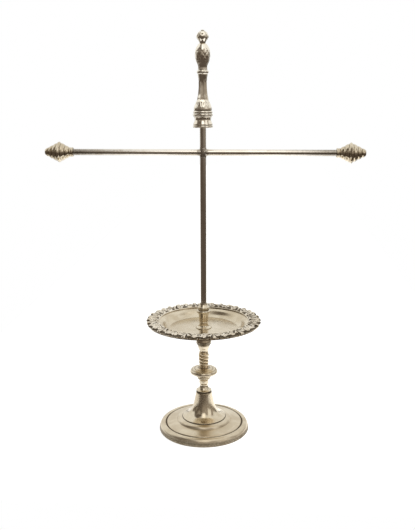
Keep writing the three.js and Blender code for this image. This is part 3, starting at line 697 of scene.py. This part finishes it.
def border_motif(s, t):
    """Relief, from 0 to 1, of a shell between two pairs of scrolls, in millimetres about its middle."""
    side = np.abs(s)
    shell = fan(s, t, np.array([0, 1.2]), 58, 3, 1.5, 12.2, (0.7, 2.1), (0.55, 1.0))
    boss = stroke(s, t, np.array([[0, 1.6], [0, 2.4]]), (1.6, 1.4), (0.8, 0.9))
    low_scroll = stroke(side, t, spiral((8.4, 4.7), 3.8, 1.7, -150, 1.05), (1.5, 0.9), (0.9, 0.7))
    low_eye = stroke(side, t, np.array([[8.4, 4.7], [8.5, 4.8]]), (1.2, 1.2), (1.0, 1.0))
    high_scroll = stroke(side, t, spiral((9.7, 10.3), 2.6, 1.3, -60, 0.95), (1.35, 0.8), (1.0, 0.8))
    high_eye = stroke(side, t, np.array([[9.7, 10.3], [9.7, 10.4]]), (0.9, 0.9), (0.95, 0.95))
    leaf = fan(side - 14.27, t, np.array([0, 2.2]), 76, 3, 0.8, 9.0, (0.5, 1.6), (0.6, 0.95))
    edge = stroke(side, t, np.array([[0, 0.95], [15, 0.95]]), (0.7, 0.7), (0.5, 0.5))
    relief = np.zeros_like(s)
    for part in (shell, boss, low_scroll, low_eye, high_scroll, high_eye, leaf, edge):
        relief = np.maximum(relief, part)
    return relief


def border():
    """The cast border: one motif worked out on a grid and repeated round the ring."""
    radius, bottom, height = span("tray_border")
    inner_radius = radius - BORDER_WIDTH
    thickness = height * BORDER_THICKNESS_SHARE
    relief_height = height - thickness
    middle = (radius + inner_radius) / 2
    motif_angle = FULL_TURN / BORDER_MOTIFS
    local = (np.arange(BORDER_COLUMNS) / BORDER_COLUMNS - 0.5) * motif_angle
    across = np.linspace(1, 0, BORDER_ROWS)
    angle, share = np.meshgrid(local, across)
    relief = border_motif(angle * middle / MM, share * BORDER_WIDTH / MM)
    lobe = np.sqrt(np.abs(np.cos(local * BORDER_MOTIFS * LOBES / 2)))
    small_lobe = np.sqrt(np.abs(np.cos(local * BORDER_MOTIFS * LOBES * 1.5)))
    reach = BORDER_WIDTH - LOBE_DEPTH * (1 - lobe) - SMALL_LOBE_DEPTH * (1 - small_lobe)
    envelope = smoothstep(0, 0.1, share) * (1 - smoothstep(0.93, 1, share) * 0.65)
    shoulder = 0.82 + 0.18 * smoothstep(0, 0.2, share) - 0.4 * smoothstep(0.9, 1, share)
    top = thickness * shoulder + relief_height * relief * envelope
    shade = (1 - smoothstep(0.3, 0.78, relief)) * smoothstep(0.02, 0.1, share)
    under_share, under_height, under_shade = np.array(BORDER_UNDER).T[:, :, None] * np.ones_like(local)
    shares = np.vstack([under_share, share])
    radii = np.tile(inner_radius + shares * reach, (1, BORDER_MOTIFS))
    heights = np.tile(bottom + np.vstack([under_height * thickness, top]), (1, BORDER_MOTIFS))
    shades = np.tile(np.vstack([under_shade, shade]), (1, BORDER_MOTIFS))
    around = np.arange(radii.shape[1]) / radii.shape[1] * FULL_TURN
    worn = np.sin(around * 5 + 1) * np.sin(around * 13 + 2)
    # Painted shade, darkest on one side of the ring, as if that side faced away from the light.
    side_shade = 0.5 + 0.5 * np.cos(around - SHADED_SIDE_AZIMUTH)
    shades = np.clip(shades * (1.1 + 0.6 * side_shade + 0.4 * worn) + 0.05 + 0.27 * side_shade, 0, 1)
    outer = np.clip((radii - radii.mean()) / (radii.max() - radii.mean()), 0, 1)
    radii += WORN_DEPTH * (worn - 1) * outer
    make_piece("tray_border", *loop_mesh(radii, heights, shades), CAST_PLATE, CAST)


SOCKET_WEB = 2 * MM  # between the post and the tie rod
FLANGE_SHADE = 0.2


def socket():
    radius, bottom, height = span("post_socket")
    post_bottom = span("post")[1]
    rod_top = post_bottom - SOCKET_WEB
    line = outline(SOCKET, radius, bottom, height)
    inner = [
        (POST_BORE, line[-1][1]), (POST_BORE, post_bottom), (0, post_bottom), (0, rod_top),
        (ROD_BORE, rod_top), (ROD_BORE, line[0][1]),
    ]

    def flanged(edge, rise, angle):
        """A darker colour on the flange at the socket's foot."""
        flange = smoothstep(0.6, 0.7, edge / radius) * (1 - smoothstep(0.07, 0.1, rise))
        return np.zeros_like(edge), FLANGE_SHADE * flange

    turn("post_socket", line, inner, STEM_PLATE, carve=flanged)


# Post and crossbar

POST_CHAMFER = 0.3 * MM
STUD_HOLE_DEPTH = 10 * MM


def post():
    radius, bottom, height = span("post")
    top = bottom + height
    narrow, hole = radius - POST_CHAMFER, top - STUD_HOLE_DEPTH
    sides = [(radius, bottom + POST_CHAMFER), (radius, top - POST_CHAMFER)]
    line = np.array([(narrow, bottom), *sides, (narrow, top)])
    inner = [(STUD_BORE, top), (STUD_BORE, hole), (0, hole), (0, bottom)]
    turn("post", line, inner, ROD_PLATE, sides=ROD_SIDES)


def arm_place(side):
    """Lays a piece turned about Z along an arm of the crossbar."""
    low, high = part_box(f"finial_{side}")
    height = (low[2] + high[2]) / 2
    sign = 1 if side == "right" else -1

    def place(points):
        x, y, z = points.T
        return np.stack([sign * z, y, height - sign * x], axis=1)

    return place


def along_arm(node):
    """Start, length and radius of a node on an arm, whichever arm it is."""
    low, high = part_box(node)
    start, end = sorted((abs(low[0]), abs(high[0])))
    return start, end - start, (high[2] - low[2]) / 2


def coped(points, post_radius):
    """Moves the root of an arm onto the round of the post."""
    root = points[:, 2] < post_radius
    points[root, 2] = np.sqrt(post_radius ** 2 - np.minimum(np.abs(points[root, 1]), post_radius) ** 2)
    return points


def arm(side):
    place = arm_place(side)
    post_radius = span("post")[0]

    def place_root(points):
        return place(coped(points, post_radius))

    _, _, bar_radius = along_arm(f"crossbar_{side}")
    collar_start, collar_length, collar_radius = along_arm(f"finial_collar_{side}")
    finial_start, finial_length, finial_radius = along_arm(f"finial_{side}")
    bar_end = collar_start - SEAT_GAP
    stud_end = bar_end + BAR_STUD_LENGTH
    bar = np.array([(bar_radius, 0), (bar_radius, post_radius * 1.01), (bar_radius, bar_end)])
    inner = [(BAR_STUD_RADIUS, bar_end), (BAR_STUD_RADIUS, stud_end), (0, stud_end), (0, 0)]
    turn(f"crossbar_{side}", bar, inner, ROD_PLATE, sides=ROD_SIDES, place=place_root)

    line = outline(FINIAL_COLLAR, collar_radius, bar_end, collar_length + 2 * SEAT_GAP)
    turn(f"finial_collar_{side}", line, through_bore(BAR_STUD_BORE, line), ARM_PLATE, place=place)

    line = finial_outline(finial_radius, finial_start, finial_length)
    hole = stud_end + SEAT_GAP
    inner = [(0, hole), (BAR_STUD_BORE, hole), (BAR_STUD_BORE, finial_start)]
    turn(f"finial_{side}", line, inner, FINIAL_PLATE, CAST, carve=finial_chasing, place=place)
    braze(side, place, bar_radius, post_radius)


def finial_outline(radius, start, length):
    """Round ribs that widen, then narrow to a blunt tip."""
    rib = length / FINIAL_RIBS
    points = []
    for i in range(FINIAL_RIBS * FINIAL_RIB_STEPS):
        place = i / FINIAL_RIB_STEPS
        if place < FINIAL_WIDEST:
            share = FINIAL_ROOT_SHARE + (1 - FINIAL_ROOT_SHARE) * place / FINIAL_WIDEST
        else:
            share = 1 + (FINIAL_TIP_SHARE - 1) * (place - FINIAL_WIDEST) / (FINIAL_RIBS - FINIAL_WIDEST)
        bulge = math.sqrt(max(0, 1 - (place % 1 * 2 - 1) ** 2))
        points.append((share * radius - FINIAL_RIB_DEPTH * (1 - bulge), start + place * rib))
    tip = FINIAL_TIP_SHARE * radius - FINIAL_RIB_DEPTH
    end = start + length
    points += [(tip, end - 0.1 * MM), (tip * 0.7, end - 0.02 * MM), (0, end)]
    return np.array(points)


def finial_chasing(radius, rise, angle):
    """Shallow notches across the crest of each rib."""
    notch = np.abs(np.cos(angle * FINIAL_NOTCHES / 2 + np.floor(rise * FINIAL_RIBS) * math.pi / 2))
    within = np.sin((rise * FINIAL_RIBS % 1) * math.pi)
    return FINIAL_NOTCH_DEPTH * (1 - notch ** 0.5) * within, np.zeros_like(radius)


BRAZE_ROWS = 48
BRAZE_SIDES = 96
BRAZE_HALVINGS = 24
BRAZE_GRAIN = 0.006
BRAZE_SHADE = 0.55


def braze(side, place, bar_radius, post_radius):
    """Braze metal in the corners between an arm and the post, as if the two rods ran together.

    The skin is found by halving, along rays from the middle of the joint.
    """
    start, length, reach = along_arm(f"braze_{side}")
    width = BRAZE_BLEND[side]
    tilt = (np.arange(BRAZE_ROWS) + 0.5) / BRAZE_ROWS * math.pi / 2
    angle = np.arange(BRAZE_SIDES) * FULL_TURN / BRAZE_SIDES
    tilt, angle = np.meshgrid(tilt, angle, indexing="ij")
    direction = np.stack([np.sin(tilt) * np.cos(angle), np.sin(tilt) * np.sin(angle), np.cos(tilt)], axis=-1)
    near = np.zeros_like(tilt)
    far = np.minimum((start + length) / np.maximum(np.cos(tilt), 1e-6), reach / np.sin(tilt))
    for _ in range(BRAZE_HALVINGS):
        middle = (near + far) / 2
        x, y, z = np.moveaxis(direction * middle[..., None], -1, 0)
        sleeve = BRAZE_SLEEVE * (1 - smoothstep(0.2 * post_radius, 1.7 * post_radius, np.abs(x)))
        from_bar, from_post = np.hypot(x, y) - bar_radius, np.hypot(y, z) - post_radius - sleeve
        blend = np.clip(1 - np.abs(from_bar - from_post) / width, 0, 1)
        fillet = blend ** 2 * width / 4 * smoothstep(0.8 * post_radius, 1.15 * post_radius, np.abs(z))
        inside = np.minimum(from_bar, from_post) - fillet < BRAZE_SKIN
        near, far = np.where(inside, middle, near), np.where(inside, far, middle)
    grain = 1 + BRAZE_GRAIN * np.sin(angle * 11 + tilt * 7) * np.sin(tilt * 17 + 1)
    skin = direction * (near * grain)[..., None]
    ends = np.zeros((1, BRAZE_SIDES))
    radius = np.vstack([ends, np.hypot(skin[..., 0], skin[..., 1])[::-1], ends])
    height = np.vstack([ends, skin[::-1, :, 2], ends + near[0].mean()])
    points, faces, recess = loop_mesh(radius, height, np.full_like(radius, BRAZE_SHADE))
    make_piece(f"braze_{side}", place(points), faces, recess, BRAZE_METAL, "braze_metal")


# Top handle

PANELS = 8
LEAVES = 8
CUP_LEAF_DEPTH = 0.4 * MM
PANEL_FRAME_DEPTH = 0.16 * MM
HANGING_LEAF_DEPTH = 0.22 * MM


def leaf(across, along, base_width, tip_power):
    """Height, from 0 to 1, of a pointed leaf with a vein. across is -1 to 1, along 0 to 1 at the tip."""
    width = np.clip(base_width * np.clip(1 - along, 0, 1) ** tip_power, 1e-6, None)
    inside = np.clip(1 - (across / width) ** 2, 0, 1) * (along <= 1)
    vein = 1 - 0.35 * np.exp(-(across / 0.13) ** 2)
    return np.sqrt(inside) * vein


def cell_across(angle, count, offset=0):
    """Place within one of count equal parts of the turn, from -1 to 1."""
    return ((angle / FULL_TURN * count + offset) % 1) * 2 - 1


def shaft_carving(radius, rise, angle):
    """Leaves round the cup, flat panels up the shaft, and leaves that hang from its top."""
    in_cup = 1 - smoothstep(0.225, 0.24, rise)
    cup_leaf = leaf(cell_across(angle, LEAVES), rise / 0.235, 0.98, 0.45)
    between = leaf(cell_across(angle, LEAVES, 0.5), (rise - 0.08) / 0.155, 0.6, 0.6)
    cup = np.maximum(cup_leaf, between * 0.8)
    half = FULL_TURN / PANELS / 2
    from_edge = angle + half
    flat = radius * (1 - math.cos(half) / np.cos(from_edge % (2 * half) - half))
    edge = np.abs(cell_across(from_edge, PANELS))
    framed = PANEL_FRAME_DEPTH * (1 - smoothstep(0.72, 0.86, edge)) * smoothstep(0.26, 0.29, rise)
    hanging = leaf(cell_across(angle, LEAVES, 0.5), (0.985 - rise) / 0.2, 0.95, 0.6)
    in_top = smoothstep(0.77, 0.8, rise)
    plain = flat * (1 - 0.5 * in_top) + framed * (1 - in_top) + HANGING_LEAF_DEPTH * in_top * (1 - hanging)
    cut = in_cup * CUP_LEAF_DEPTH * (1 - cup) + (1 - in_cup) * plain
    cup_shade = 0.5 * in_cup * (1 - smoothstep(0.1, 0.6, cup))
    hanging_shade = 0.45 * in_top * (1 - smoothstep(0.1, 0.6, hanging))
    frame_shade = 0.45 * np.exp(-((edge - 0.77) / 0.06) ** 2) * (1 - in_cup) * (1 - in_top)
    return cut, np.clip(cup_shade + hanging_shade + frame_shade, 0, 1)


THISTLE_SCALES = 8
THISTLE_ROWS = 6
SCALE_DEPTH = 0.5 * MM
TUFT_DEPTH = 0.15 * MM
THISTLE_SHADE = 0.12


def thistle_carving(radius, rise, angle):
    """Leaves round the foot of the bud, rows of scales, and a plainer top."""
    turn_part = angle / FULL_TURN * THISTLE_SCALES
    p = (turn_part + rise * THISTLE_ROWS / 2) % 1 - 0.5
    q = (turn_part - rise * THISTLE_ROWS / 2) % 1 - 0.5
    scale = 1 - 2 * np.maximum(np.abs(p), np.abs(q))
    ridge = 1 - 0.3 * np.exp(-((p + q) / 0.1) ** 2)
    scales = np.clip(np.clip(scale, 0, 1) ** 0.45 * ridge * (0.85 + 0.3 * (p - q)), 0, 1)
    calyx = np.maximum(
        leaf(cell_across(angle, LEAVES), rise / 0.36, 0.98, 0.5),
        leaf(cell_across(angle, LEAVES, 0.5), (rise - 0.1) / 0.3, 0.6, 0.6) * 0.85,
    )
    in_calyx = 1 - smoothstep(0.3, 0.37, rise)
    in_tuft = smoothstep(0.68, 0.76, rise)
    tuft = 0.6 + 0.4 * np.abs(np.cos(angle * 8))
    shape = in_calyx * calyx + (1 - in_calyx) * ((1 - in_tuft) * scales + in_tuft * tuft)
    depth = SCALE_DEPTH * (1 - in_tuft) + TUFT_DEPTH * in_tuft
    shade = THISTLE_SHADE * (1 - smoothstep(0.15, 0.6, shape)) * (1 - 0.6 * in_tuft)
    return depth * (1 - shape), shade


CROWN_PETALS = 4
DIMPLE_DEPTH = 0.75 * MM
PETAL_GAP_DEPTH = 0.9 * MM
LIP_DEPTH = 0.15 * MM
CROWN_CUT_RADIUS = 6 * MM  # where the petals are carved to their full depth
CROWN_HOLE_DEPTH = 4 * MM
SKIRT_WALL = 1.3 * MM
SKIRT_TAPER = 1.3 * MM
SKIRT_HOLLOW_DEPTH = 3.4 * MM


def crown_carving(radius, rise, angle):
    """A lip round the middle and, above it, dimpled petals with gaps between them."""
    across = cell_across(angle, CROWN_PETALS, 0.5)
    above = smoothstep(0.47, 0.53, rise) * (1 - smoothstep(0.88, 0.93, rise))
    dimple = np.exp(-(across / 0.42) ** 2 - ((rise - 0.67) / 0.085) ** 2)
    gap = np.clip(np.abs(across) ** 6, 0, 1)
    lip = np.exp(-((rise - 0.5) / 0.018) ** 2)
    petals = above * (DIMPLE_DEPTH * dimple + PETAL_GAP_DEPTH * gap) * radius / CROWN_CUT_RADIUS
    return petals + LIP_DEPTH * lip, np.clip(above * (0.9 * dimple + 0.8 * gap) + 0.3 * lip, 0, 1)


def crown():
    radius, bottom, height = span("crown_ball")
    line = outline(CROWN, radius, bottom, height)
    hole = bottom + CROWN_HOLE_DEPTH
    inner = [(0, hole), (STUD_BORE, hole), (STUD_BORE, bottom)]
    turn("crown_ball", line, inner, HANDLE_PLATE, CAST, CARVED_SIDES, crown_carving)


def skirt():
    radius, bottom, height = span("handle_skirt")
    post_top = span("post")[1] + span("post")[2]
    line = outline(SKIRT, radius, bottom, height)
    wall = line[0][0] - SKIRT_WALL
    hollow = bottom + SKIRT_HOLLOW_DEPTH
    inner = [
        (STUD_BORE, line[-1][1]), (STUD_BORE, post_top), (POST_BORE, post_top), (POST_BORE, hollow),
        (wall - SKIRT_TAPER, hollow), (wall, bottom),
    ]
    turn("handle_skirt", line, inner, HANDLE_PLATE)


# Studio

BACKDROP_RADIANCE = (1.0, 1.0, 0.98, 1)
ROOM_RADIANCE = (0.098, 0.076, 0.06, 1)
ROOM_LEFT_RADIANCE = (0.14, 0.115, 0.093, 1)
ROOM_RIGHT_RADIANCE = (0.36, 0.315, 0.27, 1)
FLAG_RADIANCE = (0.16, 0.15, 0.14, 1)
FLOOR_FRONT = 0.16
FLOOR_SIDE = 0.34
FLOOR_BACK = 3.0
FLOOR_DROP = 0.05 * MM
FLOOR_GREY = 0.45
FLOOR_ROUGHNESS = 0.9
FLOOR_GLOW = (-0.06, 0.06, 0.8, 1.16)  # how far right from and to, and the glow there
# The dark room's outline: two angles, and the angle that the edge has at each.
ROOM_LEFT_EDGE = (4, 16, -118, -86)  # azimuth over elevation
ROOM_RIGHT_EDGE = (4, 16, 131, 92)
ROOM_TOP_EDGE = (-50, 0, 72, 42)  # elevation over azimuth
ROOM_SIDE_BLUR = 5
ROOM_TOP_BLUR = 10
ROOM_TURN = (-30, 0)  # azimuths between which its left light becomes its right one
EYE_LEVEL = (-5, 6)  # elevations between which its dark lower part ends
EYE_LEVEL_DROP = (8, 28, 0, 4)  # azimuth from and to, and how far the level drops there
CLUTTER_COLOR = (1, 0.93, 0.82, 1)
CLUTTER_STRENGTH = 0.32
LOW_CLUTTER = 0.25
# Bright strips in the room: azimuth from and to, elevation from and to, radiance.
ROOM_STRIPS = [
    (-13, 18, 29, 80, 1.6),
    (42, 72, 10, 70, 1.1),
]
STRIP_COLOR = (1, 0.98, 0.94)
STRIP_BLUR = (1.2, 2.5)
# Dark flags before the backdrop, which the metal shows from the sides and the back.
FLAGS = [
    (120, 136, -40, 11),
    (152, 170, -40, 3),
    (-170, -148, -40, 3),
]
FLAG_BLUR = (3, 3)


def band(tree, value, low, high, blur):
    """1 between two angles, falling off over a few degrees at each end."""
    rise = map_range(tree, value, low - blur, low + blur, 0, 1)
    fall = map_range(tree, value, high - blur, high + blur, 1, 0)
    return calculate(tree, "MULTIPLY", rise, fall)


def patch(tree, azimuth, elevation, edges, blur):
    """1 within azimuths and elevations from and to."""
    across = band(tree, azimuth, *edges[:2], blur[0])
    return calculate(tree, "MULTIPLY", across, band(tree, elevation, *edges[2:], blur[1]))


def light_path(tree):
    """Two masks: 1 for camera and transmission rays, and 1 for those and glossy rays."""
    path = add(tree, "ShaderNodeLightPath").outputs
    seen = calculate(tree, "MAXIMUM", path["Is Camera Ray"], path["Is Transmission Ray"])
    return seen, calculate(tree, "MAXIMUM", seen, path["Is Glossy Ray"])


def world():
    """A white sweep behind and above, and in front a dark room with bright strips.

    The camera itself sees only white.
    """
    sky = bpy.data.worlds.new("studio")
    bpy.context.scene.world = sky
    sky.use_nodes = True
    tree = sky.node_tree
    direction = add(tree, "ShaderNodeTexCoord").outputs["Generated"]
    axes = add(tree, "ShaderNodeSeparateXYZ", {0: direction}).outputs
    to_front = calculate(tree, "MULTIPLY", axes["Y"], -1)
    azimuth = calculate(tree, "DEGREES", calculate(tree, "ARCTAN2", axes["X"], to_front))
    elevation = calculate(tree, "DEGREES", calculate(tree, "ARCSINE", axes["Z"]))

    from_left = calculate(tree, "SUBTRACT", azimuth, map_range(tree, elevation, *ROOM_LEFT_EDGE))
    from_right = calculate(tree, "SUBTRACT", map_range(tree, elevation, *ROOM_RIGHT_EDGE), azimuth)
    over_room = calculate(tree, "SUBTRACT", elevation, map_range(tree, azimuth, *ROOM_TOP_EDGE))
    room = map_range(tree, over_room, -ROOM_TOP_BLUR, ROOM_TOP_BLUR, 1, 0)
    for inwards in (from_left, from_right):
        room = calculate(
            tree, "MULTIPLY", room, map_range(tree, inwards, -ROOM_SIDE_BLUR, ROOM_SIDE_BLUR, 0, 1))

    right_share = map_range(tree, azimuth, *ROOM_TURN, 0, 1)
    upper = mix_color(tree, right_share, ROOM_LEFT_RADIANCE, ROOM_RIGHT_RADIANCE)
    above = calculate(tree, "ADD", elevation, map_range(tree, azimuth, *EYE_LEVEL_DROP))
    inside = mix_color(tree, map_range(tree, above, *EYE_LEVEL, 0, 1), ROOM_RADIANCE, upper)
    color = mix_color(tree, room, BACKDROP_RADIANCE, inside)
    blobs = map_range(tree, noise(tree, direction, 2.2, detail=3), 0.5, 0.7, 0, CLUTTER_STRENGTH)
    clutter = calculate(tree, "MULTIPLY", room, blobs)
    clutter = calculate(tree, "MULTIPLY", clutter, map_range(tree, elevation, *EYE_LEVEL, LOW_CLUTTER, 1))
    color = mix_color(tree, clutter, color, CLUTTER_COLOR)
    for *edges, radiance in ROOM_STRIPS:
        light = (*(radiance * channel for channel in STRIP_COLOR), 1)
        color = mix_color(tree, patch(tree, azimuth, elevation, edges, STRIP_BLUR), color, light)
    for edges in FLAGS:
        color = mix_color(tree, patch(tree, azimuth, elevation, edges, FLAG_BLUR), color, FLAG_RADIANCE)
    seen, _ = light_path(tree)
    color = mix_color(tree, seen, color, (1, 1, 1, 1))
    background = tree.nodes["Background"]
    tree.links.new(color, background.inputs["Color"])
    background.inputs["Strength"].default_value = 1


def floor():
    """A white table top. The camera and the metal see it glow, more towards the right."""
    corners = [
        (-FLOOR_SIDE, -FLOOR_FRONT, -FLOOR_DROP), (FLOOR_SIDE, -FLOOR_FRONT, -FLOOR_DROP),
        (FLOOR_SIDE, FLOOR_BACK, -FLOOR_DROP), (-FLOOR_SIDE, FLOOR_BACK, -FLOOR_DROP),
    ]
    mesh = bpy.data.meshes.new("floor")
    mesh.from_pydata(corners, [], [(0, 1, 2, 3)])
    material, tree, shader, place = new_material("white_table")
    shader.inputs["Base Color"].default_value = (FLOOR_GREY, FLOOR_GREY, FLOOR_GREY, 1)
    shader.inputs["Roughness"].default_value = FLOOR_ROUGHNESS
    shader.inputs["Specular IOR Level"].default_value = 0
    _, shown = light_path(tree)
    shader.inputs["Emission Color"].default_value = (1, 1, 1, 1)
    across = add(tree, "ShaderNodeSeparateXYZ", {0: place}).outputs["X"]
    glow = map_range(tree, across, *FLOOR_GLOW)
    tree.links.new(calculate(tree, "MULTIPLY", shown, glow), shader.inputs["Emission Strength"])
    mesh.materials.append(material)
    stage = bpy.data.objects.new("floor", mesh)
    bpy.context.scene.collection.objects.link(stage)


def camera():
    lens = bpy.data.cameras.new("camera")
    lens.sensor_fit = "VERTICAL"
    lens.sensor_height = SENSOR_MM
    lens.sensor_width = SENSOR_MM
    lens.lens = FOCAL_PIXELS / IMAGE_HEIGHT * SENSOR_MM
    lens.clip_start = 0.05
    eye = bpy.data.objects.new("camera", lens)
    across, back = math.sin(CAMERA_AZIMUTH), math.cos(CAMERA_AZIMUTH)
    eye.location = (CAMERA_DISTANCE * across, -CAMERA_DISTANCE * back, CAMERA_HEIGHT)
    aim = Euler((math.radians(90) - CAMERA_PITCH, 0, CAMERA_AZIMUTH + CAMERA_YAW)).to_matrix()
    eye.rotation_euler = (aim @ Matrix.Rotation(CAMERA_ROLL, 3, "Z")).to_euler()
    bpy.context.scene.collection.objects.link(eye)
    bpy.context.scene.camera = eye
    bpy.context.scene.view_settings.view_transform = "Standard"


camera()
world()
floor()
finish_inner_nodes()
felt_pad()
foot()
bell()
turned_node("neck_spool", SPOOL, ROD_BORE, STEM_PLATE)
turned_node("knop", KNOP, ROD_BORE, WIDE_PLATE)
turned_node(
    "twist_stem", TWIST_STEM, ROD_BORE, ROPE_PLATE, slot=CAST, sides=CARVED_SIDES, carve=twist_strands)
turned_node("stem_cup", CUP, ROD_BORE, STEM_PLATE)
turned_node("tray_collar", TRAY_COLLAR, ROD_BORE, STEM_PLATE, carve=under_tray)
tray()
border()
socket()
post()
arm("right")
arm("left")
skirt()
turned_node("handle_ring", BEAD_RING, STUD_BORE, HANDLE_PLATE, joint_shade=POLISHED_JOINT_SHADE)
turned_node(
    "handle_body", SHAFT, STUD_BORE, HANDLE_PLATE, slot=CAST, sides=CARVED_SIDES, carve=shaft_carving,
    joint_shade=POLISHED_JOINT_SHADE)
turned_node("handle_collar", HANDLE_COLLAR, STUD_BORE, HANDLE_PLATE, joint_shade=POLISHED_JOINT_SHADE)
turned_node(
    "thistle", THISTLE, STUD_BORE, HANDLE_PLATE, slot=CAST, sides=CARVED_SIDES, carve=thistle_carving,
    joint_shade=POLISHED_JOINT_SHADE)
crown()
